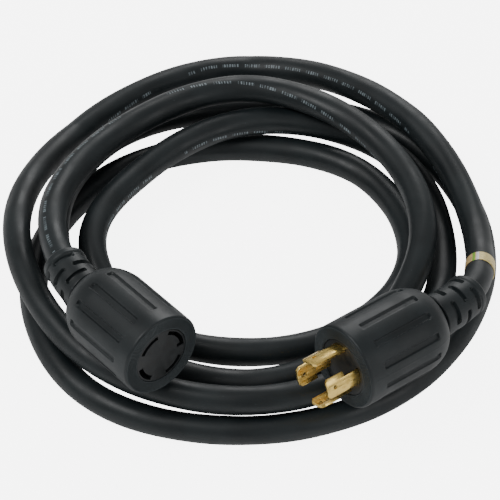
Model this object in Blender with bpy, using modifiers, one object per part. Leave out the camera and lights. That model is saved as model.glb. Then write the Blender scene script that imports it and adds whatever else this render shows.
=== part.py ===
"""Shore power cord: one heavy rubber cord that lies in a loose coil of four and a half turns, with a
four-blade locking plug on one end and the matching locking connector on the other.

Units are metres, +Z is up and the coil lies on the plane z = 0. Each end is modelled in a frame of
its own: the origin is the centre of its face, +Z leaves the face, +Y is its upper side."""

import math

import bmesh
import bpy
from mathutils import Matrix, Vector

MM = 0.001
UP = Vector((0, 0, 1))
GAP = 0.3 * MM  # between two pieces that touch
WELD = 0.01 * MM

# The cord and its coil. The coil's centre is set so that the whole object's box is centred on the origin.
CORD_RADIUS = 8.6 * MM
COIL_CENTRE = Vector((-0.6, -13.3, 0)) * MM
FIRST_BEARING = 270  # degrees clockwise from +Y, seen from above
STATION_STEP = 45
TUBE_STEP = 22.5
# The lay of the cord: a mark every eighth of a turn, one turn to a row, from the left and clockwise.
# Each mark is the radius from the coil's centre and the lift of the cord above lying on the ground,
# in whole mm. A stretch that crosses another is a cord's thickness above it, or a little more.
LAY = (
    # out of the connector, over three others at the left and the back, and down at the front
    *((118, 41), (113, 32), (118, 31), (108, 30), (104, 25), (96, 8), (95, 0), (100, 0)),
    # up onto the third turn at the left, then outermost on the ground at the right
    *((117, 19), (125, 14), (131, 0), (143, 0), (141, 0), (133, 0), (130, 0), (139, 0)),
    # in from the outside to the innermost place at the front, flat on the ground
    *((129, 0), (110, 0), (97, 0), (102, 0), (97, 0), (79, 0), (71, 0), (80, 0)),
    # up at the left, under the first turn at the back, and up again under the two bodies
    *((95, 16), (89, 18), (102, 18), (125, 3), (117, 1), (117, 11), (120, 15), (127, 15)),
    # widest at the back, then over the second turn at the right and up to the plug
    *((140, 20), (154, 0), (167, 0), (141, 22), (137, 20)),
)
TAIL_SPLITS = (1 / 3, 2 / 3)  # of the span between the last station and the plug's strain relief

# The two ends: face centre, direction out of the face, rim of the strain relief, first groove
CONNECTOR_FACE = Vector((-50.3, -117.2, 60.7)) * MM
CONNECTOR_AXIS = Vector((0.640, -0.764, 0.086))
CONNECTOR_RIM = Vector((-109.0, -41.5, 54.5)) * MM
CONNECTOR_GROOVE_PHASE = 17
PLUG_FACE = Vector((52.7, -123.4, 57.7)) * MM
PLUG_AXIS = Vector((-0.780, -0.619, 0.091))
PLUG_RIM = Vector((126.9, -58.9, 47.0)) * MM
PLUG_GROOVE_PHASE = 2

# The moulded body, the same on both ends. Heights run back from the face, so they are negative.
TURN_STEPS = 36
BODY_RADIUS = 26 * MM
BODY_LENGTH = 66 * MM
DOME_START = 45 * MM
DOME_STEPS = 5
NECK_RADIUS = 14 * MM
RIM_FALL = ((24.6 * MM, 0), (25.6 * MM, -0.4 * MM))  # the rounded edge of the face
RIM_DEPTH = 1.4 * MM
CAVITY_RADIUS = 17.8 * MM
CAVITY_DEPTH = 48 * MM
THROAT_DEPTH = 56 * MM
BORE_RADIUS = 9.4 * MM
CORD_END_DEPTH = 60 * MM

GROOVES = 12
GROOVE_WIDTH = 4 * MM
GROOVE_FLOOR = 24.7 * MM
GROOVE_FRONT, GROOVE_BACK = -11 * MM, -50 * MM
CUTTER_OVERSHOOT = 3 * MM

# The strain relief: a short straight neck, then a sleeve with rows of slots, which bends with the cord.
# Its outline is given as distance along it and radius.
RELIEF_SIDES_RESOLUTION = 6  # sixteen sides
NECK_LENGTH = 2.5 * MM
RELIEF_NECK = ((0, 11.3 * MM), (NECK_LENGTH - 0.5 * MM, 11.3 * MM), (NECK_LENGTH, 13.4 * MM))
RELIEF_RIM_RADIUS = 12.7 * MM
RELIEF_RIM_ROUND = ((1.2 * MM, 0), (0.3 * MM, 0.5 * MM), (0, 1.1 * MM))  # back from the rim, and in
RELIEF_ROWS = (0.22, 0.5, 0.78)  # of the sleeve's length
RELIEF_SLOTS_IN_ROW = 4
RELIEF_SLOT = (13 * MM, 4 * MM, 2.2 * MM)  # round the relief, outwards, along it
RELIEF_SLOT_FLOOR = 11.2 * MM

# Blades, and what holds and feeds them
POLES = ("line_1", "line_2", "neutral", "ground")
BLADE_ANGLES = dict(line_1=25, line_2=205, neutral=295, ground=115)
BLADE_RADIUS = 14 * MM
BLADE_THICKNESS = 1.8 * MM
BLADE_WIDTH = 50  # degrees round the axis
BLADE_ROOT_WIDTH = 38
BLADE_TIP = 22.5 * MM
BLADE_NOTCH_TOP = 10 * MM
BLADE_HOLE_RADIUS = 1.25 * MM
BLADE_HOLE_BELOW_TIP = 5 * MM
BLADE_CHAMFER = 1.6 * MM
GROUND_TAB = (4.4 * MM, 1.8 * MM)  # inwards from the blade, thickness
ARC_STEPS = 6
SLOT_CLEARANCE = 1.3  # degrees at each end of a slot
PLUG_FACE_DEPTH = 10 * MM
PLUG_HOLDER_BACK = 24 * MM
INSERT_RADIUS = CAVITY_RADIUS - GAP

# The connector's slots: mean radius, thickness, first and last angle. The ground slot has an inner leg.
CONNECTOR_SLOTS = dict(
    line_1=(14.9 * MM, 2.4 * MM, 94, 147),
    line_2=(14.9 * MM, 2.4 * MM, -83, -33),
    neutral=(14.9 * MM, 3.0 * MM, -176, -126),
    ground=(14.9 * MM, 2.6 * MM, -5, 65),
)
GROUND_LEG = (3.6 * MM, 2.4 * MM)  # inwards from the slot, thickness
CONNECTOR_POLE_ANGLES = dict(line_1=120, line_2=-58, neutral=-150, ground=32)
CONNECTOR_FACE_DEPTH = 8 * MM
CONTACT_HOLDER_BACK = 32 * MM
POCKET_THICKNESS = 4.6 * MM
POCKET_WIDTH = 50
CONTACT_WIDTH = 44
CONTACT_RADII = (12.3 * MM, 15.7 * MM)
CONTACT_FRONT, CONTACT_BACK = -9.5 * MM, -27 * MM
CONTACT_SHEET = 0.6 * MM
CONTACT_TAIL = (4 * MM, 0.8 * MM, 6 * MM)  # round the axis, outwards, backwards

CRIMP_RADIUS = 3.2 * MM
CRIMP_LENGTH = 8 * MM
CRIMP_BORE = 2.5 * MM
CRIMP_BORE_DEPTH = 5 * MM
CRIMP_STEPS = 12
WIRE_RADIUS = 2.2 * MM
BUNDLE_RADIUS = 3.3 * MM
WIRE_WAY = (0.85, 0.5, 0.1, 0, 0)  # share of the way out from the bundle, at even steps backwards

# The printed band round the cord near the plug
LABEL_INSIDE, LABEL_OUTSIDE = 9.0 * MM, 9.4 * MM
LABEL_LENGTH = 9.5 * MM
LABEL_STEPS = 24

# Colour, roughness and metallic value of each material
FINISHES = dict(
    cord_rubber=((0.035, 0.042, 0.046), 0.5, 0),
    moulded_rubber=((0.030, 0.037, 0.041), 0.45, 0),
    insert_plastic=((0.016, 0.019, 0.021), 0.55, 0),
    brass=((0.80, 0.58, 0.24), 0.25, 1),
    tinned_metal=((0.62, 0.60, 0.55), 0.35, 1),
    spring_brass=((0.72, 0.50, 0.22), 0.3, 1),
    label_foil=((0.83, 0.70, 0.52), 0.4, 0),
    insulation_line_1=((0.02, 0.02, 0.02), 0.4, 0),
    insulation_line_2=((0.50, 0.03, 0.03), 0.4, 0),
    insulation_neutral=((0.75, 0.75, 0.72), 0.4, 0),
    insulation_ground=((0.03, 0.30, 0.08), 0.4, 0),
)


def clear_scene():
    """Removes everything that the file opened with."""
    for obj in list(bpy.data.objects):
        bpy.data.objects.remove(obj)
    for collection in list(bpy.data.collections):
        bpy.data.collections.remove(collection)


def new_collection(name):
    """A collection of this name, linked to the scene."""
    collection = bpy.data.collections.new(name)
    bpy.context.scene.collection.children.link(collection)
    return collection


def new_material(name, finish):
    """A Principled material from a finish's colour, roughness and metallic value."""
    colour, roughness, metallic = finish
    material = bpy.data.materials.new(name)
    material.use_nodes = True
    shader = material.node_tree.nodes["Principled BSDF"]
    shader.inputs["Base Color"].default_value = (*colour, 1)
    shader.inputs["Roughness"].default_value = roughness
    shader.inputs["Metallic"].default_value = metallic
    return material


def put(obj, parent, material=None):
    """Links an object under its parent: as a part when it has a material, otherwise as a cutter."""
    if material is None:
        CUTTERS.objects.link(obj)
        obj.hide_render = True
        obj.display_type = "WIRE"
    else:
        PARTS.objects.link(obj)
        obj.data.materials.clear()
        obj.data.materials.append(MATERIALS[material])
    obj.parent = parent
    return obj


def shade(mesh):
    """Smooth over the round faces, sharp at the edges."""
    mesh.shade_smooth()
    mesh.set_sharp_from_angle(angle=math.radians(35))


def frame_at(origin, direction):
    """The frame at origin whose +Z is the direction and whose +Y points as far up as it can."""
    z_axis = direction.normalized()
    y_axis = (UP - UP.dot(z_axis) * z_axis).normalized()
    x_axis = y_axis.cross(z_axis)
    frame = Matrix((x_axis, y_axis, z_axis)).transposed().to_4x4()
    frame.translation = origin
    return frame


def new_seat(name, parent, frame):
    """An empty at this frame, which the pieces of one end hang from."""
    seat = bpy.data.objects.new(name, None)
    PARTS.objects.link(seat)
    seat.parent = parent
    seat.location = frame.translation
    seat.rotation_euler = frame.to_euler()
    return seat


def settled_mesh(obj):
    """An object's mesh after its modifiers, with the loose seams welded. The object is removed."""
    bpy.context.view_layer.update()
    graph = bpy.context.evaluated_depsgraph_get()
    mesh = bpy.data.meshes.new_from_object(obj.evaluated_get(graph))
    work = bmesh.new()
    work.from_mesh(mesh)
    bmesh.ops.remove_doubles(work, verts=work.verts, dist=WELD)
    work.to_mesh(mesh)
    work.free()
    mesh.name = obj.name
    bpy.data.objects.remove(obj)
    shade(mesh)
    return mesh


def turned(name, profile, steps=TURN_STEPS, angle=360, closed=False):
    """A profile of (radius, height) points turned about Z, down its outer side first."""
    last = len(profile) if closed else len(profile) - 1
    edges = [(i, (i + 1) % len(profile)) for i in range(last)]
    mesh = bpy.data.meshes.new(name)
    mesh.from_pydata([(radius, 0, height) for radius, height in profile], edges, [])
    obj = bpy.data.objects.new(name, mesh)
    turn = obj.modifiers.new("turn", "SCREW")
    turn.angle = math.radians(angle)
    turn.steps = turn.render_steps = steps
    turn.use_merge_vertices = True
    turn.merge_threshold = WELD
    turn.use_smooth_shade = True
    return obj


def arc_wall(name, radius, thickness, first, last, bottom, top):
    """A wall round the axis, from the first to the last angle in degrees, as a turned line made thick."""
    wall = turned(name, [(radius, top), (radius, bottom)], ARC_STEPS, last - first)
    thicken = wall.modifiers.new("thickness", "SOLIDIFY")
    thicken.thickness = thickness
    thicken.offset = 0
    wall.rotation_euler.z = math.radians(first)
    return wall


def boxes(name, size, frames):
    """One mesh of equal boxes, one at each frame."""
    work = bmesh.new()
    for frame in frames:
        bmesh.ops.create_cube(work, matrix=frame @ Matrix.Diagonal((*size, 1)))
    mesh = bpy.data.meshes.new(name)
    work.to_mesh(mesh)
    work.free()
    return bpy.data.objects.new(name, mesh)


def combine(obj, other, operation="DIFFERENCE"):
    """Cuts the other solid away from this one, or joins it to it, with the exact solver."""
    modifier = obj.modifiers.new(other.name, "BOOLEAN")
    modifier.object = other
    modifier.operation = operation
    modifier.solver = "EXACT"


def tube(name, points, radii, resolution):
    """A capped tube along straight pieces between the points, with one radius or one for each point."""
    curve = bpy.data.curves.new(name, "CURVE")
    curve.dimensions = "3D"
    curve.bevel_depth = MM
    curve.bevel_resolution = resolution
    curve.use_fill_caps = True
    spline = curve.splines.new("POLY")
    spline.points.add(len(points) - 1)
    if not isinstance(radii, list):
        radii = [radii] * len(points)
    for point, place, radius in zip(spline.points, points, radii):
        point.co = (*place, 1)
        point.radius = radius / MM
    return bpy.data.objects.new(name, curve)


def tube_solid(name, points, radii, resolution, parent):
    """A tube as a mesh with welded caps, for a piece that is cut or that cuts."""
    curve = put(tube(name, points, radii, resolution), parent)
    solid = bpy.data.objects.new(name, settled_mesh(curve))
    solid.name = name
    return solid


# ---------------------------------------------------------------- the cord


def on_coil(bearing, radius, lift):
    """The cord's centre at a bearing, a radius and a lift above lying on the ground."""
    angle = math.radians(bearing)
    return Vector((radius * math.sin(angle), radius * math.cos(angle), CORD_RADIUS + lift))


def end_points(face, axis):
    """The cord's end inside a body, and the strain relief's neck behind that body: its start and its end."""
    back = axis.normalized()
    neck = BODY_LENGTH + GAP
    return face - back * CORD_END_DEPTH, face - back * neck, face - back * (neck + NECK_LENGTH)


def cord_route():
    """The smooth route's fixed points from neck to neck, and the direction of the cord at each."""
    stations = [
        on_coil(FIRST_BEARING + i * STATION_STEP, radius * MM, lift * MM)
        for i, (radius, lift) in enumerate(LAY)
    ]
    connector_neck = end_points(CONNECTOR_FACE, CONNECTOR_AXIS)[2]
    plug_neck = end_points(PLUG_FACE, PLUG_AXIS)[2]
    points = [connector_neck, CONNECTOR_RIM, *stations, PLUG_RIM, plug_neck]
    headings = [-CONNECTOR_AXIS.normalized()]
    for before, here, after in zip(points, points[1:], points[2:]):
        near, far = here - before, after - here
        blend = near / near.length * far.length + far / far.length * near.length
        headings.append(blend.normalized())
    headings.append(PLUG_AXIS.normalized())
    return points, headings


def along_span(points, headings, i, share):
    """A point on the smooth curve between fixed points i and i + 1, never lower than the ground."""
    start, end = points[i], points[i + 1]
    span = (end - start).length
    t = share
    place = (
        start * (1 + 2 * t) * (1 - t) ** 2
        + headings[i] * span * t * (1 - t) ** 2
        + end * t * t * (3 - 2 * t)
        + headings[i + 1] * span * t * t * (t - 1)
    )
    place.z = max(place.z, CORD_RADIUS)
    return place


def cord_line():
    """The tube's points, in three runs: connector's end and relief, the coil, plug's relief and end."""
    points, headings = cord_route()
    first_station, last_station = 2, len(points) - 3
    turns = (last_station - first_station) * STATION_STEP / TUBE_STEP
    coil = []
    for step in range(round(turns) + 1):
        place = step * TUBE_STEP / STATION_STEP
        span = min(int(place), last_station - first_station - 1)
        coil.append(along_span(points, headings, first_station + span, place - span))
    coil += [along_span(points, headings, last_station, share) for share in TAIL_SPLITS]
    connector_run = [*end_points(CONNECTOR_FACE, CONNECTOR_AXIS), CONNECTOR_RIM]
    plug_run = [*end_points(PLUG_FACE, PLUG_AXIS), PLUG_RIM]
    return connector_run, coil, plug_run


def make_cord(coil_seat):
    """The cord from inside one body to inside the other, and the printed band near the plug."""
    connector_run, coil, plug_run = cord_line()
    points = [*connector_run, *coil, *reversed(plug_run)]
    cord = tube("power_cord", points, CORD_RADIUS, resolution=4)
    put(cord, coil_seat, "cord_rubber")
    for spline in cord.data.splines:
        spline.use_smooth = True

    before, after = coil[-2], coil[-1]
    band = [
        (LABEL_OUTSIDE, LABEL_LENGTH / 2),
        (LABEL_OUTSIDE, -LABEL_LENGTH / 2),
        (LABEL_INSIDE, -LABEL_LENGTH / 2),
        (LABEL_INSIDE, LABEL_LENGTH / 2),
    ]
    label = turned("cord_label_band", band, LABEL_STEPS, closed=True)
    put(label, coil_seat, "label_foil")
    frame = frame_at((before + after) / 2, after - before)
    label.location = frame.translation
    label.rotation_euler = frame.to_euler()
    return connector_run[1:], plug_run[1:]


# ---------------------------------------------------------------- what both ends share


def body_profile():
    """Outer side from the face to the neck, then the cavity from the neck back to the face."""
    outer = [*RIM_FALL, (BODY_RADIUS, -RIM_DEPTH), (BODY_RADIUS, -DOME_START)]
    dome_depth = BODY_LENGTH - DOME_START
    for i in range(1, DOME_STEPS + 1):
        angle = math.pi / 2 * i / DOME_STEPS
        radius = NECK_RADIUS + (BODY_RADIUS - NECK_RADIUS) * math.cos(angle)
        outer.append((radius, -DOME_START - dome_depth * math.sin(angle)))
    inner = [
        (BORE_RADIUS, -BODY_LENGTH),
        (BORE_RADIUS, -THROAT_DEPTH),
        (CAVITY_RADIUS, -CAVITY_DEPTH),
        (CAVITY_RADIUS, 0),
    ]
    return outer + inner


def make_body(name, seat, phase):
    """The moulded grip: hollow, domed at the back, with lengthwise grooves round it."""
    body = put(turned(name, body_profile(), closed=True), seat, "moulded_rubber")
    length = GROOVE_FRONT - GROOVE_BACK
    height = BODY_RADIUS - GROOVE_FLOOR + CUTTER_OVERSHOOT
    centre = Matrix.Translation((GROOVE_FLOOR + height / 2, 0, (GROOVE_FRONT + GROOVE_BACK) / 2))
    frames = [
        Matrix.Rotation(math.radians(phase + i * 360 / GROOVES), 4, "Z") @ centre for i in range(GROOVES)
    ]
    cutter = put(boxes(name + "_grooves", (height, GROOVE_WIDTH, length), frames), seat)
    combine(body, cutter)


def relief_outline(line):
    """Points along the relief's centre line (neck's start, neck's end, rim), and the radius at each."""
    neck, sleeve, rim = line
    length = (rim - sleeve).length
    outline = list(RELIEF_NECK)
    outline += [(NECK_LENGTH + length - back, RELIEF_RIM_RADIUS - drop) for back, drop in RELIEF_RIM_ROUND]
    points = [neck.lerp(sleeve, distance / NECK_LENGTH) for distance, _ in RELIEF_NECK]
    for distance, _ in outline[len(RELIEF_NECK) :]:
        points.append(sleeve.lerp(rim, (distance - NECK_LENGTH) / length))
    return points, [radius for _, radius in outline]


def make_relief(name, line, coil_seat):
    """The bent strain relief: a narrow neck, a sleeve with staggered rows of slots, and a rounded rim."""
    points, radii = relief_outline(line)
    relief = tube_solid(name, points, radii, RELIEF_SIDES_RESOLUTION, coil_seat)
    put(relief, coil_seat, "moulded_rubber")

    neck, sleeve, rim = line
    bore_line = [
        neck + (neck - sleeve).normalized() * CUTTER_OVERSHOOT,
        sleeve,
        rim + (rim - sleeve).normalized() * CUTTER_OVERSHOOT,
    ]
    bore = tube_solid(name + "_bore", bore_line, BORE_RADIUS, 4, coil_seat)
    combine(relief, put(bore, coil_seat))

    frames = []
    for row, share in enumerate(RELIEF_ROWS):
        frame = frame_at(sleeve.lerp(rim, share), rim - sleeve)
        outwards = Matrix.Translation((0, RELIEF_SLOT_FLOOR + RELIEF_SLOT[1] / 2, 0))
        for i in range(RELIEF_SLOTS_IN_ROW):
            turn = math.tau * (i + row % 2 / 2) / RELIEF_SLOTS_IN_ROW
            frames.append(frame @ Matrix.Rotation(turn, 4, "Z") @ outwards)
    combine(relief, put(boxes(name + "_slots", RELIEF_SLOT, frames), coil_seat))


def crimp_mesh():
    """A crimp barrel, closed at its front and bored for the wire at its back."""
    profile = [
        (0, 0),
        (CRIMP_RADIUS, 0),
        (CRIMP_RADIUS, -CRIMP_LENGTH),
        (CRIMP_BORE, -CRIMP_LENGTH),
        (CRIMP_BORE, -CRIMP_LENGTH + CRIMP_BORE_DEPTH),
        (0, -CRIMP_LENGTH + CRIMP_BORE_DEPTH),
    ]
    return settled_mesh(put(turned("crimp_barrel", profile, CRIMP_STEPS), None))


def make_leads(end, seat, angles, front):
    """A crimp barrel for each pole at this depth, and the insulated wire from it to the cord's end."""
    barrel = crimp_mesh()
    wire_front = front - CRIMP_LENGTH + CRIMP_BORE_DEPTH - GAP
    wire_back = -CORD_END_DEPTH + GAP
    straight = front - CRIMP_LENGTH - GAP
    for pole in POLES:
        angle = math.radians(angles[pole])
        outwards = Vector((math.cos(angle), math.sin(angle), 0))
        crimp = put(bpy.data.objects.new(f"{end}_crimp_{pole}", barrel.copy()), seat, "tinned_metal")
        crimp.location = outwards * BLADE_RADIUS + UP * front
        points = [outwards * BLADE_RADIUS + UP * wire_front, outwards * BLADE_RADIUS + UP * straight]
        step = (wire_back - straight) / len(WIRE_WAY)
        for i, share in enumerate(WIRE_WAY, start=1):
            radius = BUNDLE_RADIUS + share * (BLADE_RADIUS - BUNDLE_RADIUS)
            points.append(outwards * radius + UP * (straight + i * step))
        wire = tube(f"{end}_wire_{pole}", points, WIRE_RADIUS, resolution=2)
        put(wire, seat, f"insulation_{pole}")


# ---------------------------------------------------------------- the plug


def blade_mesh():
    """One blade: a curved wall, notched for locking, with a hole and two chamfered corners at its tip."""
    bottom = -PLUG_HOLDER_BACK
    blade = put(arc_wall("blade", BLADE_RADIUS, BLADE_THICKNESS, 0, BLADE_WIDTH, bottom, BLADE_TIP), None)
    notch = arc_wall(
        "notch",
        BLADE_RADIUS,
        3 * BLADE_THICKNESS,
        BLADE_ROOT_WIDTH,
        BLADE_WIDTH + 10,
        bottom - CUTTER_OVERSHOOT,
        BLADE_NOTCH_TOP,
    )
    combine(blade, put(notch, None))

    middle = math.radians(BLADE_WIDTH / 2)
    work = bmesh.new()
    place = Matrix.Rotation(middle, 4, "Z") @ Matrix.Translation(
        (BLADE_RADIUS, 0, BLADE_TIP - BLADE_HOLE_BELOW_TIP)
    )
    bmesh.ops.create_cone(
        work,
        cap_ends=True,
        segments=10,
        radius1=BLADE_HOLE_RADIUS,
        radius2=BLADE_HOLE_RADIUS,
        depth=3 * BLADE_THICKNESS,
        matrix=place @ Matrix.Rotation(math.pi / 2, 4, "Y"),
    )
    mesh = bpy.data.meshes.new("hole")
    work.to_mesh(mesh)
    work.free()
    combine(blade, put(bpy.data.objects.new("hole", mesh), None))

    side = 4 * BLADE_CHAMFER
    reach = (side / 2 - BLADE_CHAMFER / math.sqrt(2)) / math.sqrt(2)
    corners = []
    for angle, way in ((0, -1), (BLADE_WIDTH, 1)):
        corner = Matrix.Rotation(math.radians(angle), 4, "Z") @ Matrix.Translation(
            (BLADE_RADIUS, way * reach, BLADE_TIP + reach)
        )
        corners.append(corner @ Matrix.Rotation(math.pi / 4, 4, "X"))
    combine(blade, put(boxes("corners", (3 * BLADE_THICKNESS, side, side), corners), None))
    return settled_mesh(blade)


def add_ground_tab(blade, seat):
    """The ground blade's inner leg, on its clockwise edge above the notch."""
    depth, thickness = GROUND_TAB
    height = BLADE_TIP - BLADE_NOTCH_TOP - BLADE_CHAMFER
    centre = Matrix.Translation(
        (BLADE_RADIUS - depth / 2, thickness / 2 + GAP, BLADE_NOTCH_TOP + height / 2)
    )
    tab = put(boxes("ground_tab", (depth, thickness, height), [centre]), seat)
    tab.rotation_euler = blade.rotation_euler
    combine(blade, tab, "UNION")


def make_plug(seat):
    """The plug's insert, the holder behind it, the four blades, and their crimps and wires."""
    face_profile = [(0, 0), (INSERT_RADIUS, 0), (INSERT_RADIUS, -PLUG_FACE_DEPTH), (0, -PLUG_FACE_DEPTH)]
    face = put(turned("plug_face", face_profile), seat, "insert_plastic")
    front, back = -PLUG_FACE_DEPTH - GAP, -PLUG_HOLDER_BACK
    holder_profile = [(0, front), (INSERT_RADIUS, front), (INSERT_RADIUS, back), (0, back)]
    holder = put(turned("plug_blade_holder", holder_profile), seat, "insert_plastic")

    mesh = blade_mesh()
    for pole in POLES:
        first = BLADE_ANGLES[pole] - BLADE_WIDTH / 2
        blade = put(bpy.data.objects.new(f"plug_blade_{pole}", mesh.copy()), seat, "brass")
        blade.rotation_euler.z = math.radians(first)
        if pole == "ground":
            add_ground_tab(blade, seat)
        slot = arc_wall(
            f"plug_slot_{pole}",
            BLADE_RADIUS,
            BLADE_THICKNESS + 2 * GAP,
            first - SLOT_CLEARANCE,
            first + BLADE_ROOT_WIDTH + SLOT_CLEARANCE,
            back - CUTTER_OVERSHOOT,
            CUTTER_OVERSHOOT,
        )
        put(slot, seat)
        combine(face, slot)
        combine(holder, slot)
    make_leads("plug", seat, BLADE_ANGLES, back - GAP)


# ---------------------------------------------------------------- the connector


def contact_mesh():
    """A spring contact: a sheet folded to a U that a blade slides into, with a tail to the crimp."""
    inside, outside = CONTACT_RADII
    fold = [
        (inside, CONTACT_FRONT),
        (inside, CONTACT_BACK),
        (outside, CONTACT_BACK),
        (outside, CONTACT_FRONT),
    ]
    contact = turned("contact", fold, ARC_STEPS, CONTACT_WIDTH)
    sheet = contact.modifiers.new("sheet", "SOLIDIFY")
    sheet.thickness = CONTACT_SHEET
    sheet.offset = 0
    put(contact, None)
    around, thickness, length = CONTACT_TAIL
    place = Matrix.Rotation(math.radians(CONTACT_WIDTH / 2), 4, "Z") @ Matrix.Translation(
        (BLADE_RADIUS, 0, CONTACT_BACK - length / 2)
    )
    combine(contact, put(boxes("tail", (thickness, around, length), [place]), None), "UNION")
    return settled_mesh(contact)


def make_connector(seat):
    """The connector's slotted insert, the holder behind it, its spring contacts, crimps and wires."""
    depth = CONNECTOR_FACE_DEPTH
    face_profile = [(0, 0), (INSERT_RADIUS, 0), (INSERT_RADIUS, -depth), (0, -depth)]
    face = put(turned("connector_face", face_profile), seat, "insert_plastic")
    front, back = -depth - GAP, -CONTACT_HOLDER_BACK
    holder_profile = [(0, front), (INSERT_RADIUS, front), (INSERT_RADIUS, back), (0, back)]
    holder = put(turned("connector_contact_holder", holder_profile), seat, "insert_plastic")

    for pole, (radius, thickness, first, last) in CONNECTOR_SLOTS.items():
        slot = arc_wall(
            f"connector_slot_{pole}", radius, thickness, first, last, -depth - CUTTER_OVERSHOOT, CUTTER_OVERSHOOT
        )
        combine(face, put(slot, seat))
    leg_depth, leg_thickness = GROUND_LEG
    ground_radius, _, ground_first, _ = CONNECTOR_SLOTS["ground"]
    place = Matrix.Rotation(math.radians(ground_first), 4, "Z") @ Matrix.Translation(
        (ground_radius - leg_depth / 2, leg_thickness / 2, -depth / 2)
    )
    leg_size = (leg_depth, leg_thickness, depth + 2 * CUTTER_OVERSHOOT)
    combine(face, put(boxes("connector_slot_ground_leg", leg_size, [place]), seat))

    mesh = contact_mesh()
    for pole in POLES:
        centre = CONNECTOR_POLE_ANGLES[pole]
        pocket = arc_wall(
            f"connector_pocket_{pole}",
            BLADE_RADIUS,
            POCKET_THICKNESS,
            centre - POCKET_WIDTH / 2,
            centre + POCKET_WIDTH / 2,
            back - CUTTER_OVERSHOOT,
            front + CUTTER_OVERSHOOT,
        )
        combine(holder, put(pocket, seat))
        contact = put(bpy.data.objects.new(f"connector_contact_{pole}", mesh.copy()), seat, "spring_brass")
        contact.rotation_euler.z = math.radians(centre - CONTACT_WIDTH / 2)
    crimp_front = CONTACT_BACK - CONTACT_TAIL[2] - GAP
    make_leads("connector", seat, CONNECTOR_POLE_ANGLES, crimp_front)


clear_scene()
PARTS = new_collection("shore_power_cord")
CUTTERS = new_collection("cutters")
MATERIALS = {name: new_material(name, finish) for name, finish in FINISHES.items()}

coil_seat = new_seat("coil_centre", None, Matrix.Translation(COIL_CENTRE))
connector_seat = new_seat("connector_seat", coil_seat, frame_at(CONNECTOR_FACE, CONNECTOR_AXIS))
plug_seat = new_seat("plug_seat", coil_seat, frame_at(PLUG_FACE, PLUG_AXIS))

connector_relief_line, plug_relief_line = make_cord(coil_seat)
make_relief("connector_strain_relief", connector_relief_line, coil_seat)
make_relief("plug_strain_relief", plug_relief_line, coil_seat)
make_body("connector_body", connector_seat, CONNECTOR_GROOVE_PHASE)
make_body("plug_body", plug_seat, PLUG_GROOVE_PHASE)
make_connector(connector_seat)
make_plug(plug_seat)
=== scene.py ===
"""Looks of the shore power cord: one heavy rubber cord in a loose coil, with a four-blade locking plug
on one end and the matching locking connector on the other.

Units are metres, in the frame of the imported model. Each end is modelled in a seat of its own, as in the
model: the origin is the centre of the end's face, +Z leaves the face and +Y is its upper side.
"""

import logging
import math
from collections.abc import Sequence
from dataclasses import dataclass
from enum import Enum

import bpy
import numpy as np
from mathutils import Matrix, Vector


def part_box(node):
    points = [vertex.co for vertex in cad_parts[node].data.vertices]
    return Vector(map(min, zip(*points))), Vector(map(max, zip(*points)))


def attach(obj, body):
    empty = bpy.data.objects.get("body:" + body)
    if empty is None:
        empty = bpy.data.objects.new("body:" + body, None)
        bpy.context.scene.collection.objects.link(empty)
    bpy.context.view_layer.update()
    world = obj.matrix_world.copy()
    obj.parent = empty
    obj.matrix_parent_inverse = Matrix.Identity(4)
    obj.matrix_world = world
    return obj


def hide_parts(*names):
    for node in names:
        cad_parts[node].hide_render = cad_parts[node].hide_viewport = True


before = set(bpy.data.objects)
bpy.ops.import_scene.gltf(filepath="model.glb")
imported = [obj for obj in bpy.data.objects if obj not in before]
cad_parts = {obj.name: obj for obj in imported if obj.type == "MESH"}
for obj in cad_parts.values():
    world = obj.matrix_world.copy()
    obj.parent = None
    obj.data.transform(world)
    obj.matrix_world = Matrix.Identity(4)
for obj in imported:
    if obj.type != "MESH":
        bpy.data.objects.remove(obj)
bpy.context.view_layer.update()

log = logging.getLogger("shore_power_cord")

MM = 0.001
UP = Vector((0, 0, 1))
WELD = 0.002 * MM
SHARP = 40  # degrees: an edge that turns more than this is rounded
SOFT_FORM, HARD_FORM, TUBE_FORM = 50, 35, 60  # degrees: up to this, an edge is shaded smooth
WALL_STEPS = 28
BODY = "root"
Colour = tuple[float, float, float]
Outline = list[tuple[float, float]]  # (radius, height) points about +Z


class Pole(Enum):
    """The four poles of the cord, by the names that the model's nodes use."""

    LINE_1 = "line_1"
    LINE_2 = "line_2"
    NEUTRAL = "neutral"
    GROUND = "ground"


class End(Enum):
    """The two ends of the cord, by the names that the model's nodes use."""

    CONNECTOR = "connector"
    PLUG = "plug"


# ---------------------------------------------------------------- finishes


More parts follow.
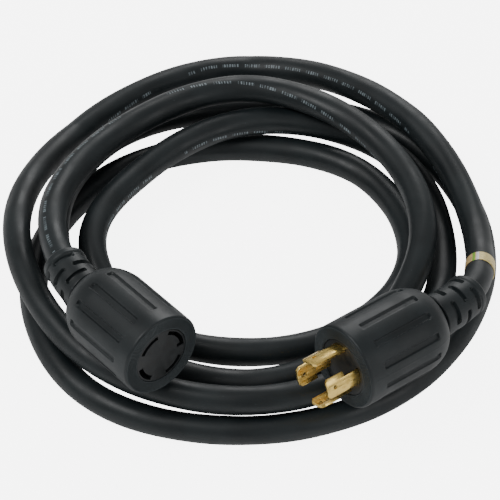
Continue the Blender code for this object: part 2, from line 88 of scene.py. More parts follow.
class Shading:
    """The nodes of one material, which all lead to its Principled shader."""

    def __init__(self, name: str) -> None:
        """Starts a material of this name with a bare Principled shader."""
        self.material = bpy.data.materials.new(name)
        self.material.use_nodes = True
        self.tree = self.material.node_tree
        self.shader = self.tree.nodes["Principled BSDF"]

    def add(self, kind: str, inputs: dict | None = None, **settings: object) -> bpy.types.Node:
        """Adds a node.

        Args:
            kind: The node's type, without its ShaderNode prefix.
            inputs: What each input gets, by name or number: a socket to link, or a value.
            settings: Properties of the node.

        Returns:
            The node.
        """
        node = self.tree.nodes.new("ShaderNode" + kind)
        for name, value in settings.items():
            setattr(node, name, value)
        for name, value in (inputs or {}).items():
            self.give(node.inputs[name], value)
        return node

    def give(self, socket: bpy.types.NodeSocket, value: object) -> None:
        """Links a socket to an input, or sets the input's value."""
        if isinstance(value, bpy.types.NodeSocket):
            self.tree.links.new(value, socket)
        else:
            socket.default_value = value

    def maths(self, operation: str, *values: object) -> bpy.types.NodeSocket:
        """The result of one Math node on these sockets or numbers."""
        return self.add("Math", dict(enumerate(values)), operation=operation).outputs[0]

    def object_place(self) -> bpy.types.NodeSocket:
        """The place on the piece, in metres."""
        return self.add("TexCoord").outputs["Object"]

    def noise(self, place: object, scale: float, detail: float = 3.0) -> bpy.types.NodeSocket:
        """A noise field from 0 to 1, mostly near 0.5."""
        return self.add("TexNoise", {"Vector": place, "Scale": scale, "Detail": detail}).outputs["Fac"]

    def stretch(self, place: object, scale: Sequence[float]) -> bpy.types.NodeSocket:
        """A place scaled differently along each axis, for streaks."""
        return self.add("Mapping", {"Vector": place, "Scale": scale}).outputs[0]

    def span(self, value: object, low: float, high: float, to_low: float, to_high: float) -> object:
        """A value mapped smoothly from one range to another, and held at the range's ends."""
        inputs = {"Value": value, "From Min": low, "From Max": high, "To Min": to_low, "To Max": to_high}
        return self.add("MapRange", inputs, interpolation_type="SMOOTHSTEP").outputs[0]

    def mix(self, share: object, first: object, second: object) -> bpy.types.NodeSocket:
        """A colour between two colours."""
        node = self.add("Mix", data_type="RGBA")
        colours = [(*c, 1) if isinstance(c, tuple) else c for c in (first, second)]
        for socket, value in zip((node.inputs[0], node.inputs[6], node.inputs[7]), (share, *colours)):
            self.give(socket, value)
        return node.outputs[2]

    def bump(self, height: object, strength: float, depth: float, below: object = None) -> object:
        """A bumped normal, on top of another one if given."""
        inputs = {"Height": height, "Strength": strength, "Distance": depth}
        if below is not None:
            inputs["Normal"] = below
        return self.add("Bump", inputs).outputs[0]

    def finish(self, **inputs: object) -> bpy.types.Material:
        """Gives the shader its inputs, with _ for a space in their names, and returns the material."""
        for name, value in inputs.items():
            value = (*value, 1) if isinstance(value, tuple) else value
            self.give(self.shader.inputs[name.replace("_", " ")], value)
        return self.material


@dataclass(frozen=True)
class Rubber:
    """Matt moulded rubber: two near-black tones in soft patches, fine pits, a painted highlight on convex
    edges, and pale specks of dust.
    """

    name: str
    dark: Colour = (0.0080, 0.0120, 0.0136)
    pale: Colour = (0.0142, 0.0204, 0.0226)
    # painted highlight: this pale colour goes on convex edges, and it is also the colour of the dust specks
    dust_and_edge_highlight: Colour = (0.064, 0.081, 0.087)
    roughness: float = 0.44
    pit_scale: float = 1500

    def tone(self, shading: Shading) -> bpy.types.NodeSocket:
        """The rubber's colour before any print or wear."""
        patches = shading.noise(shading.object_place(), 38, 5)
        return shading.mix(shading.span(patches, 0.35, 0.68, 0, 1), self.dark, self.pale)

    def paler_edges(self, shading: Shading, tone: object) -> bpy.types.NodeSocket:
        """The colour with a painted highlight on its convex edges, and a few pale specks of dust."""
        # painted highlight: convex edges, found by their pointiness, are made paler
        edge = shading.span(shading.add("NewGeometry").outputs["Pointiness"], 0.52, 0.60, 0, 0.55)
        dust = shading.span(shading.noise(shading.object_place(), 640, 2), 0.70, 0.78, 0, 0.35)
        return shading.mix(shading.maths("MAXIMUM", edge, dust), tone, self.dust_and_edge_highlight)

    def pits(self, shading: Shading) -> bpy.types.NodeSocket:
        """A normal with the mould's fine grain and a slight unevenness."""
        place = shading.object_place()
        uneven = shading.bump(shading.noise(place, 90, 3), 0.25, 0.3 * MM)
        return shading.bump(shading.noise(place, self.pit_scale, 2), 0.35, 0.05 * MM, uneven)

    def sheen(self, shading: Shading) -> object:
        """A roughness that wanders about the rubber's own."""
        patches = shading.noise(shading.object_place(), 60, 4)
        return shading.span(patches, 0.3, 0.7, self.roughness - 0.06, self.roughness + 0.08)

    def material(self) -> bpy.types.Material:
        """The finished material."""
        shading = Shading(self.name)
        colour = self.paler_edges(shading, self.tone(shading))
        return shading.finish(
            Base_Color=colour, Roughness=self.sheen(shading), Normal=self.pits(shading), IOR=1.5
        )


@dataclass(frozen=True)
class JacketRubber(Rubber):
    """The cord's extruded jacket: faint streaks along it, and a row of pale printed dashes in groups.

    Its UV map holds the way along the cord and the way round it from the printed row, in metres."""

    ink: Colour = (0.235, 0.285, 0.310)
    print_height: float = 2.1 * MM
    dash_pitch: float = 1.75 * MM
    group_pitch: float = 14.9 * MM
    row_pitch: float = 208 * MM

    def printed(self, shading: Shading, along: object, around: object) -> bpy.types.NodeSocket:
        """Where the printed row has ink: dashes of chance width, in groups, in rows with long gaps."""
        cells = shading.maths("DIVIDE", along, self.dash_pitch)
        chance = shading.add("TexWhiteNoise", {"W": shading.maths("FLOOR", cells)}, noise_dimensions="1D")
        width = shading.maths("MULTIPLY_ADD", chance.outputs["Value"], 0.40, 0.32)
        dash = shading.maths("LESS_THAN", shading.maths("FRACT", cells), width)
        groups = shading.maths("FRACT", shading.maths("DIVIDE", along, self.group_pitch))
        group = shading.maths("LESS_THAN", groups, 0.74)
        rows = shading.maths("FRACT", shading.maths("DIVIDE", along, self.row_pitch))
        row = shading.maths("LESS_THAN", rows, 0.86)
        height = shading.maths("ABSOLUTE", around)
        band = shading.span(height, 0.42 * self.print_height, 0.5 * self.print_height, 1, 0)
        ink = band
        for part in (dash, group, row):
            ink = shading.maths("MULTIPLY", ink, part)
        fading = shading.span(shading.noise(shading.object_place(), 420, 2), 0.36, 0.58, 0.35, 1)
        return shading.maths("MULTIPLY", ink, fading)

    def material(self) -> bpy.types.Material:
        """The finished material."""
        shading = Shading(self.name)
        surface = shading.add("TexCoord").outputs["UV"]
        way = shading.add("SeparateXYZ", {"Vector": surface})
        streaks = shading.noise(shading.stretch(surface, (6, 420, 1)), 1, 3)
        tone = shading.mix(shading.span(streaks, 0.4, 0.75, 0, 0.45), self.tone(shading), self.pale)
        dust = shading.span(shading.noise(shading.object_place(), 560, 2), 0.70, 0.78, 0, 0.3)
        tone = shading.mix(dust, tone, self.dust_and_edge_highlight)
        ink = self.printed(shading, way.outputs["X"], way.outputs["Y"])
        normal = shading.bump(streaks, 0.18, 0.12 * MM, self.pits(shading))
        return shading.finish(
            Base_Color=shading.mix(ink, tone, self.ink), Roughness=self.sheen(shading), Normal=normal, IOR=1.5
        )


@dataclass(frozen=True)
class Plastic:
    """Moulded plastic of an insert or a wire's covering: one tone, slightly mottled, with fine grain."""

    name: str
    tone: Colour = (0.010, 0.012, 0.013)
    pale: Colour = (0.018, 0.021, 0.022)
    roughness: float = 0.42

    def material(self) -> bpy.types.Material:
        """The finished material."""
        shading = Shading(self.name)
        place = shading.object_place()
        mottle = shading.noise(place, 220, 3)
        return shading.finish(
            Base_Color=shading.mix(shading.span(mottle, 0.35, 0.7, 0, 1), self.tone, self.pale),
            Roughness=shading.span(mottle, 0.3, 0.7, self.roughness - 0.05, self.roughness + 0.07),
            Normal=shading.bump(shading.noise(place, 1900, 2), 0.3, 0.04 * MM),
            IOR=1.5,
        )


@dataclass(frozen=True)
class StampedMetal:
    """Sheet metal with fine rolling marks along one direction, darker in patches and bright at its edges."""

    name: str
    along: Vector
    bright: Colour = (1.0, 0.72, 0.22)
    dull: Colour = (0.65, 0.40, 0.10)
    roughness: float = 0.24

    def material(self) -> bpy.types.Material:
        """The finished material."""
        shading = Shading(self.name)
        place = shading.object_place()
        turn = UP.rotation_difference(self.along).inverted().to_euler()
        turned = shading.add("Mapping", {"Vector": place, "Rotation": turn}, vector_type="TEXTURE")
        lines = shading.noise(shading.stretch(turned.outputs[0], (2600, 2600, 90)), 1, 2)
        tarnish = shading.noise(place, 260, 4)
        paler_edges = shading.add("NewGeometry").outputs["Pointiness"]
        shade = shading.mix(shading.span(tarnish, 0.45, 0.75, 0, 0.6), self.bright, self.dull)
        colour = shading.mix(shading.span(paler_edges, 0.53, 0.62, 0, 0.5), shade, self.bright)
        return shading.finish(
            Base_Color=colour,
            Metallic=1.0,
            Roughness=shading.span(tarnish, 0.3, 0.7, self.roughness - 0.05, self.roughness + 0.14),
            Normal=shading.bump(lines, 0.22, 0.03 * MM),
        )


@dataclass(frozen=True)
class PrintedFoil:
    """The band near the plug: pale gold foil, mottled with small print, with a green and a white stripe.

    Its UV map holds the way along the cord and the way round it from the band's upper side, in metres."""

    name: str
    gold: Colour = (0.92, 0.66, 0.30)
    straw: Colour = (0.86, 0.70, 0.30)
    smudge: Colour = (0.30, 0.17, 0.10)
    green: Colour = (0.30, 0.62, 0.06)
    white: Colour = (0.90, 0.87, 0.90)
    green_from: float = 0.2 * MM
    white_from: float = 2.6 * MM
    stripe_width: float = 1.7 * MM

    def stripe(self, shading: Shading, around: object, start: float) -> bpy.types.NodeSocket:
        """Where a stripe lies that starts this far round the band."""
        after = shading.maths("GREATER_THAN", around, start)
        before = shading.maths("LESS_THAN", around, start + self.stripe_width)
        return shading.maths("MULTIPLY", after, before)

    def material(self) -> bpy.types.Material:
        """The finished material."""
        shading = Shading(self.name)
        surface = shading.add("TexCoord").outputs["UV"]
        around = shading.add("SeparateXYZ", {"Vector": surface}).outputs["Y"]
        beyond = shading.maths("GREATER_THAN", around, self.white_from)
        marks = shading.noise(shading.stretch(surface, (1000, 420, 1)), 1, 2)
        colour = shading.mix(beyond, self.gold, self.straw)
        colour = shading.mix(shading.span(marks, 0.54, 0.68, 0, 0.55), colour, self.smudge)
        colour = shading.mix(self.stripe(shading, around, self.green_from), colour, self.green)
        colour = shading.mix(self.stripe(shading, around, self.white_from), colour, self.white)
        creases = shading.noise(shading.stretch(surface, (160, 900, 1)), 1, 3)
        return shading.finish(
            Base_Color=colour,
            Metallic=0.25,
            Roughness=shading.span(marks, 0.3, 0.7, 0.28, 0.42),
            Normal=shading.bump(creases, 0.3, 0.15 * MM),
        )


@dataclass(frozen=True)
class PalePaper:
    """The floor under the cord: plain pale paper with barely visible fibres."""

    name: str = "pale_floor"
    tone: Colour = (0.86, 0.86, 0.86)
    pale: Colour = (0.90, 0.90, 0.90)
    shine_through: float = 6.0  # the light from below that makes the paper white
    cast: float = 0.25  # how much of that light reaches the cord

    def material(self) -> bpy.types.Material:
        """The finished material."""
        shading = Shading(self.name)
        fibres = shading.noise(shading.object_place(), 14, 5)
        seen = shading.add("LightPath").outputs["Is Camera Ray"]
        return shading.finish(
            Base_Color=shading.mix(fibres, self.tone, self.pale),
            Roughness=0.9,
            Emission_Color=(1.0, 1.0, 1.0),
            Emission_Strength=shading.span(seen, 0, 1, self.cast, self.shine_through),
        )


# ---------------------------------------------------------------- making shapes


class Bench:
    """Modelling as by hand. Each method deselects everything first and ends in object mode."""

    @staticmethod
    def clear() -> None:
        """Goes to object mode and deselects everything."""
        if bpy.context.mode != "OBJECT":
            bpy.ops.object.mode_set(mode="OBJECT")
        bpy.ops.object.select_all(action="DESELECT")

    @staticmethod
    def take_up(obj: bpy.types.Object) -> None:
        """Makes an object the only one selected, and the active one."""
        Bench.clear()
        obj.select_set(True)
        bpy.context.view_layer.objects.active = obj

    @staticmethod
    def begun(name: str) -> bpy.types.Object:
        """Names the primitive that was just added, and its mesh."""
        obj = bpy.context.object
        obj.name = obj.data.name = name
        return obj

    @staticmethod
    def turned(
        name: str, outline: Outline, steps: int, first: float = 0, last: float = 360, closed: bool = True
    ) -> bpy.types.Object:
        """Draws an outline by extruding one point from place to place, and spins it about +Z.

        Args:
            name: The piece's name.
            outline: The (radius, height) points.
            steps: How many steps the turn has.
            first: The angle at which the turn starts, in degrees.
            last: The angle at which it ends. A turn that isn't a whole one gets flat ends.
            closed: Whether the outline runs back to its first point.

        Returns:
            The piece.
        """
        Bench.clear()
        stops = [Vector((radius, 0, height)) for radius, height in outline]
        bpy.ops.mesh.primitive_plane_add(size=MM)
        obj = Bench.begun(name)
        bpy.ops.object.mode_set(mode="EDIT")
        bpy.ops.mesh.select_mode(type="VERT")
        bpy.ops.mesh.select_all(action="SELECT")
        bpy.ops.mesh.merge(type="CENTER")
        bpy.ops.transform.translate(value=stops[0])
        for before, after in zip(stops, stops[1:] + stops[:1] if closed else stops[1:]):
            bpy.ops.mesh.extrude_region_move(TRANSFORM_OT_translate={"value": after - before})
        bpy.ops.mesh.select_all(action="SELECT")
        bpy.ops.mesh.remove_doubles(threshold=WELD)
        angle = -math.radians(last - first)
        bpy.ops.mesh.spin(steps=steps, angle=angle, center=(0, 0, 0), axis=(0, 0, 1))
        bpy.ops.mesh.select_all(action="SELECT")
        bpy.ops.mesh.remove_doubles(threshold=WELD)
        if last - first < 360:
            bpy.ops.mesh.fill_holes(sides=0)
        bpy.ops.mesh.normals_make_consistent(inside=False)
        Bench.clear()
        obj.data.transform(Matrix.Rotation(math.radians(first), 4, "Z"))
        return obj

    @staticmethod
    def block(name: str, size: Sequence[float], place: Matrix) -> bpy.types.Object:
        """A cube of this size, with its place in its mesh."""
        Bench.clear()
        bpy.ops.mesh.primitive_cube_add(size=1)
        obj = Bench.begun(name)
        obj.data.transform(place @ Matrix.Diagonal((*size, 1)))
        return obj

    @staticmethod
    def combine(obj: bpy.types.Object, other: bpy.types.Object, operation: str = "DIFFERENCE") -> None:
        """Cuts another piece away from this one, or joins it on, and removes the other piece."""
        Bench.take_up(obj)
        modifier = obj.modifiers.new(operation.lower(), "BOOLEAN")
        modifier.object, modifier.operation, modifier.solver = other, operation, "EXACT"
        bpy.ops.object.modifier_apply(modifier=modifier.name)
        bpy.data.objects.remove(other)

    @staticmethod
    def rounded(obj: bpy.types.Object, width: float, segments: int = 2) -> None:
        """Rounds a piece's sharp edges."""
        Bench.take_up(obj)
        modifier = obj.modifiers.new("edges", "BEVEL")
        modifier.width, modifier.segments = width, segments
        modifier.limit_method, modifier.angle_limit = "ANGLE", math.radians(SHARP)
        bpy.ops.object.modifier_apply(modifier=modifier.name)

    @staticmethod
    def smooth(obj: bpy.types.Object, angle: float) -> None:
        """Shades a piece smooth, apart from edges that are sharper than an angle in degrees."""
        Bench.take_up(obj)
        bpy.ops.object.shade_smooth_by_angle(angle=math.radians(angle))
        Bench.clear()

    @staticmethod
    def copy(obj: bpy.types.Object, name: str) -> bpy.types.Object:
        """A copy with a mesh of its own."""
        twin = bpy.data.objects.new(name, obj.data.copy())
        twin.data.name = name
        bpy.context.scene.collection.objects.link(twin)
        return twin


def points_of(obj: bpy.types.Object) -> np.ndarray:
    """A piece's vertices, as rows."""
    points = np.empty(len(obj.data.vertices) * 3)
    obj.data.vertices.foreach_get("co", points)
    return points.reshape(-1, 3)


def set_points(obj: bpy.types.Object, points: np.ndarray) -> None:
    """Moves a piece's vertices to these rows."""
    obj.data.vertices.foreach_set("co", points.ravel())
    obj.data.update()


def dress(obj: bpy.types.Object, finish: bpy.types.Material, slot: str, *nodes: str) -> None:
    """Gives a finished piece its material and its ride, and hides the model's nodes that it stands for.

    Args:
        obj: The piece, in place.
        finish: Its material.
        slot: Not used.
        nodes: The model's nodes that it stands for.
    """
    obj.data.materials.clear()
    obj.data.materials.append(finish)
    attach(obj, BODY)
    if nodes:
        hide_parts(*nodes)
    log.info("%s: %d faces", obj.name, len(obj.data.polygons))


def frame_at(origin: Vector, direction: Vector) -> Matrix:
    """The frame at origin whose +Z is the direction and whose +Y points as far up as it can."""
    z_axis = direction.normalized()
    y_axis = (UP - UP.dot(z_axis) * z_axis).normalized()
    turned = Matrix((y_axis.cross(z_axis), y_axis, z_axis)).transposed().to_4x4()
    turned.translation = origin
    return turned


def steps_between(start: float, end: float, step: float) -> np.ndarray:
    """Even values from start up to, but not with, the end, about a step apart."""
    return np.linspace(start, end, max(2, round(abs(end - start) / step) + 1))[:-1]


def arc(
    centre: tuple[float, float], size: tuple[float, float], first: float, last: float, steps: int
) -> Outline:
    """Points on an ellipse's arc, without the last: an angle of 0 is outwards and 90 is up, in degrees."""
    angles = np.radians(np.linspace(first, last, steps + 1)[:-1])
    return [(centre[0] + size[0] * math.cos(a), centre[1] + size[1] * math.sin(a)) for a in angles]


def smooth_edge(distance: np.ndarray, softness: float) -> np.ndarray:
    """1 inside a shape and 0 outside it, from the distance to its edge, which is negative inside."""
    share = np.clip(0.5 - distance / softness, 0, 1)
    return share * share * (3 - 2 * share)


def slot_distance(
    across: np.ndarray, along: np.ndarray, half_width: float, ends: tuple[float, float], corner: float
) -> np.ndarray:
    """The distance to the edge of a slot with rounded corners, negative inside it.

    Args:
        across: Each point's distance from the slot's middle line.
        along: Each point's place along the slot.
        half_width: Half of the slot's width.
        ends: Where the slot starts and ends.
        corner: The radius of its corners.

    Returns:
        One distance for each point.
    """
    middle, half_length = (ends[0] + ends[1]) / 2, abs(ends[1] - ends[0]) / 2
    out = np.stack([np.abs(across) - half_width + corner, np.abs(along - middle) - half_length + corner])
    return np.hypot(*np.maximum(out, 0)) + np.minimum(out.max(axis=0), 0) - corner


def curved_wall(
    name: str, radius: float, thickness: float, turn: tuple[float, float], heights: tuple[float, float]
) -> bpy.types.Object:
    """A wall on a circle about +Z, between two angles in degrees and two heights."""
    inner, outer = radius - thickness / 2, radius + thickness / 2
    low, high = heights
    outline = [(inner, high), (outer, high), (outer, low), (inner, low)]
    return Bench.turned(name, outline, WALL_STEPS, *turn)


def insert_disc(name: str, top: Outline, radius: float, depth: float, edge: float) -> bpy.types.Object:
    """A disc with a rounded edge, below the outline of its top."""
    outline = [*top, *arc((radius - edge, -edge), (edge, edge), 90, 0, 4), (radius, -edge)]
    return Bench.turned(name, [*outline, (radius, -depth), (0, -depth)], 180, closed=False)


# ---------------------------------------------------------------- the cord's route


@dataclass(frozen=True)
class Seat:
    """Where one end lies, in the coil's coordinates: its face, the way out of it, and its relief's rim."""

    end: End
    face: Vector
    axis: Vector
    rim: Vector
    groove_phase: float
    camera_side: float  # the angle in the seat of the side that is seen most, in degrees

    body_length = 66 * MM
    gap = 0.3 * MM
    cord_end_depth = 60 * MM
    neck_length = 2.5 * MM

    def frame(self, centre: Vector) -> Matrix:
        """The seat's frame in the model, for a coil with this centre."""
        return frame_at(self.face + centre, self.axis)

    def behind(self, depth: float) -> Vector:
        """The point on the end's axis that is this deep behind its face."""
        return self.face - self.axis.normalized() * depth

    def neck(self) -> tuple[Vector, Vector]:
        """The strain relief's neck: its start and its end."""
        start = self.body_length + self.gap
        return self.behind(start), self.behind(start + self.neck_length)


CONNECTOR_SEAT = Seat(
    End.CONNECTOR,
    Vector((-50.3, -117.2, 60.7)) * MM,
    Vector((0.640, -0.764, 0.086)),
    Vector((-109.0, -41.5, 54.5)) * MM,
    17,
    121.7,
)
PLUG_SEAT = Seat(
    End.PLUG,
    Vector((52.7, -123.4, 57.7)) * MM,
    Vector((-0.780, -0.619, 0.091)),
    Vector((126.9, -58.9, 47.0)) * MM,
    2,
    53.3,
)


@dataclass(frozen=True)
class Route:
    """The cord's centre line: out of the connector, four and a half turns, and into the plug."""

    radius: float = 8.6 * MM
    centre: Vector = Vector((-0.6, -13.3, 0)) * MM
    first_bearing: float = 270  # degrees clockwise from +Y, seen from above
    station_step: float = 45
    # A mark every eighth of a turn, one turn to a row, from the left and clockwise: the radius from
    # the coil's centre, and the lift of the cord above lying on the ground, in whole mm.
    lay: tuple[tuple[float, float], ...] = (
        # out of the connector, over three others at the left and the back, and down at the front
        *((118, 41), (113, 32), (118, 31), (108, 30), (104, 25), (96, 8), (95, 0), (100, 0)),
        # up onto the third turn at the left, then outermost on the ground at the right
        *((117, 19), (125, 14), (131, 0), (143, 0), (141, 0), (133, 0), (130, 0), (139, 0)),
        # in from the outside to the innermost place at the front, flat on the ground
        *((129, 0), (110, 0), (97, 0), (102, 0), (97, 0), (79, 0), (71, 0), (80, 0)),
        # up at the left, under the first turn at the back, and up again under the two bodies
        *((95, 16), (89, 18), (102, 18), (125, 3), (117, 1), (117, 11), (120, 15), (127, 15)),
        # widest at the back, then over the second turn at the right and up to the plug
        *((140, 20), (154, 0), (167, 0), (141, 22), (137, 20)),
    )

    def fixed_points(self) -> list[Vector]:
        """The points that the line goes through, from neck to neck, in the coil's coordinates."""
        stations = []
        for i, (radius, lift) in enumerate(self.lay):
            angle = math.radians(self.first_bearing + i * self.station_step)
            across, away = radius * MM * math.sin(angle), radius * MM * math.cos(angle)
            stations.append(Vector((across, away, self.radius + lift * MM)))
        start, end = CONNECTOR_SEAT, PLUG_SEAT
        return [start.neck()[1], start.rim, *stations, end.rim, end.neck()[1]]

    @staticmethod
    def headings(points: list[Vector]) -> list[Vector]:
        """The line's direction at each fixed point, leaning towards the nearer neighbour."""
        ways = [-CONNECTOR_SEAT.axis.normalized()]
        for before, here, after in zip(points, points[1:], points[2:]):
            near, far = here - before, after - here
            blend = near / near.length * far.length + far / far.length * near.length
            ways.append(blend.normalized())
        return [*ways, PLUG_SEAT.axis.normalized()]

    def line(self, shares: int = 24) -> tuple[np.ndarray, np.ndarray]:
        """The whole centre line, from the cord's end in one body to its end in the other.

        Args:
            shares: How many pieces each span between two fixed points has.

        Returns:
            The points in the model's frame, and the bearing round the coil at each, in degrees.
        """
        points = self.fixed_points()
        ways = self.headings(points)
        line, bearings = [CONNECTOR_SEAT.behind(Seat.cord_end_depth)], [self.bearing(0)]
        for i, (start, end) in enumerate(zip(points, points[1:])):
            reach = (end - start).length
            for t in np.linspace(0, 1, shares, endpoint=False):
                place = (
                    start * (1 + 2 * t) * (1 - t) ** 2
                    + ways[i] * reach * t * (1 - t) ** 2
                    + end * t * t * (3 - 2 * t)
                    + ways[i + 1] * reach * t * t * (t - 1)
                )
                place.z = max(place.z, self.radius)
                line.append(place)
                bearings.append(self.bearing(i + t))
        line += [points[-1], PLUG_SEAT.behind(Seat.cord_end_depth)]
        bearings += [self.bearing(len(points) - 1)] * 2
        return np.array([p + self.centre for p in line]), np.array(bearings)

    def bearing(self, place: float) -> float:
        """The bearing at a place among the fixed points, whose first two come before the stations."""
        return self.first_bearing + (place - 2) * self.station_step


class Track:
    """A line that pieces are swept along: its length, and the frame at each distance along it."""

    def __init__(self, points: np.ndarray) -> None:
        """Measures the line.

        Args:
            points: The line's points, as rows.
        """
        self.points = points
        steps = np.linalg.norm(np.diff(points, axis=0), axis=1)
        self.along = np.concatenate([[0], np.cumsum(steps)])
        self.length = float(self.along[-1])

    def at(self, distances: np.ndarray) -> np.ndarray:
        """The places at these distances along the line."""
        return np.stack([np.interp(distances, self.along, self.points[:, k]) for k in range(3)], axis=1)

    def nearest(self, place: Vector) -> float:
        """How far along the line its point nearest to a place is."""
        return float(self.along[np.argmin(np.linalg.norm(self.points - np.array(place), axis=1))])

    def frames(self, distances: np.ndarray) -> tuple[np.ndarray, np.ndarray, np.ndarray]:
        """The line's places, and the upward and the sideways direction square to the line at each.

        Args:
            distances: How far along the line, for each frame.

        Returns:
            Places, upward directions, and directions to the right of the way along the line.
        """
        reach = 1.5 * MM
        ahead, behind = np.minimum(distances + reach, self.length), np.maximum(distances - reach, 0)
        way = self.at(ahead) - self.at(behind)
        way /= np.linalg.norm(way, axis=1, keepdims=True)
        up = np.array(UP) - way[:, 2:] * way
        up /= np.linalg.norm(up, axis=1, keepdims=True)
        return self.at(distances), up, np.cross(way, up)


# ---------------------------------------------------------------- the cord


@dataclass
class PowerCord:
    """The cord's jacket, a tube along the route, and the printed band near the plug."""

    route: Route
    finish: JacketRubber
    band_finish: PrintedFoil
    ring_step: float = 2.6 * MM
    sides: int = 56
    core_lay: float = 0.19  # how far along the jacket one turn of the four cores inside is
    core_ripple: float = 0.07 * MM
    # Bearing round the coil, and the printed row's angle from up towards the coil's inside, in degrees.
    print_turn: tuple[tuple[float, float], ...] = (
        *((248, -30), (330, -25), (420, 120), (540, 180), (900, 180), (1250, 150), (1350, 75), (1420, 80)),
        *((1500, 150), (1620, 180), (1740, 120), (1790, 25), (1830, 50), (1860, 100), (1915, 150)),
    )
    band_radius: float = 9.05 * MM
    band_length: float = 9.5 * MM
    band_phase: float = 35  # degrees from up, towards the coil's inside, of the band's stripes

    def build(self) -> tuple[bpy.types.Object, Track]:
        """Makes the jacket.

        Returns:
            The piece, and the line that it follows.
        """
        line, bearings = self.route.line()
        track = Track(line)
        distances = np.linspace(0, track.length, round(track.length / self.ring_step))
        turns, angles = zip(*self.print_turn)
        printed = np.interp(np.interp(distances, track.along, bearings), turns, angles)
        places, up, side = track.frames(distances)
        steps = np.linspace(0, math.tau, self.sides, endpoint=False)
        angle = np.radians(printed)[:, None] + math.pi + steps
        ripple = np.cos(4 * angle - 4 * math.tau * distances[:, None] / self.core_lay)
        radius = (self.route.radius - self.core_ripple + self.core_ripple * ripple)[..., None]
        rings = places[:, None] + radius * (
            np.cos(angle)[..., None] * up[:, None] + np.sin(angle)[..., None] * side[:, None]
        )
        obj = self.skin("cord_jacket", rings)
        self.lay_out(obj, distances)
        return obj, track

    def skin(self, name: str, rings: np.ndarray) -> bpy.types.Object:
        """A closed tube through rings of points, with a flat cap on each end."""
        count, sides = rings.shape[:2]
        corner = np.arange(count * sides).reshape(count, sides)
        onward = np.roll(corner, -1, axis=1)
        quads = np.stack([corner[:-1], onward[:-1], onward[1:], corner[1:]], axis=-1).reshape(-1, 4)
        faces = [*quads.tolist(), corner[0][::-1].tolist(), corner[-1].tolist()]
        mesh = bpy.data.meshes.new(name)
        mesh.from_pydata(rings.reshape(-1, 3).tolist(), [], faces)
        obj = bpy.data.objects.new(name, mesh)
        bpy.context.scene.collection.objects.link(obj)
        Bench.smooth(obj, TUBE_FORM)
        return obj

    def lay_out(self, obj: bpy.types.Object, distances: np.ndarray) -> None:
        """Gives the jacket its UV map: the way along it and the way round it from the printed row."""
        ways = (np.arange(self.sides + 1) / self.sides - 0.5) * math.tau * self.route.radius
        u = np.repeat(distances, self.sides).reshape(-1, self.sides)
        quads = np.empty((len(distances) - 1, self.sides, 4, 2))
        quads[..., 0, 0] = quads[..., 1, 0] = u[:-1]
        quads[..., 2, 0] = quads[..., 3, 0] = u[1:]
        quads[..., 0, 1] = quads[..., 3, 1] = ways[:-1]
        quads[..., 1, 1] = quads[..., 2, 1] = ways[1:]
        caps = np.full((2 * self.sides, 2), math.pi * self.route.radius)
        surface = obj.data.uv_layers.new(name="along_and_around")
        surface.data.foreach_set("uv", np.concatenate([quads.reshape(-1, 2), caps]).ravel())

    def band(self, track: Track) -> bpy.types.Object:
        """The foil band: a short sleeve with rolled edges, turned and then bent along the cord."""
        half, outer, inner = self.band_length / 2, self.band_radius, self.route.radius + 0.02 * MM
        edge = 0.18 * MM
        outline = [(inner, half), (outer - edge, half)]
        outline += [(outer, h) for h in np.linspace(half - edge, edge - half, 13)]
        outline += [(outer - edge, -half), (inner, -half)]
        obj = Bench.turned("cord_label_band_foil", outline, 72)
        points = points_of(obj)
        turn = math.radians(self.band_phase)
        around = np.arctan2(points[:, 1], points[:, 0])
        ways = np.stack([points[:, 2], around * outer], axis=1)
        corners = np.empty(len(obj.data.loops), int)
        obj.data.loops.foreach_get("vertex_index", corners)
        surface = obj.data.uv_layers.new(name="along_and_around")
        surface.active_render = True
        surface.data.foreach_set("uv", ways[corners].ravel())
        radius = np.hypot(points[:, 0], points[:, 1])
        low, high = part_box("cord_label_band")
        places, up, side = track.frames(track.nearest((low + high) / 2) + points[:, 2])
        angle = (turn - around)[:, None]
        set_points(obj, places + radius[:, None] * (np.cos(angle) * up + np.sin(angle) * side))
        Bench.smooth(obj, SOFT_FORM)
        return obj


# ---------------------------------------------------------------- what both ends share


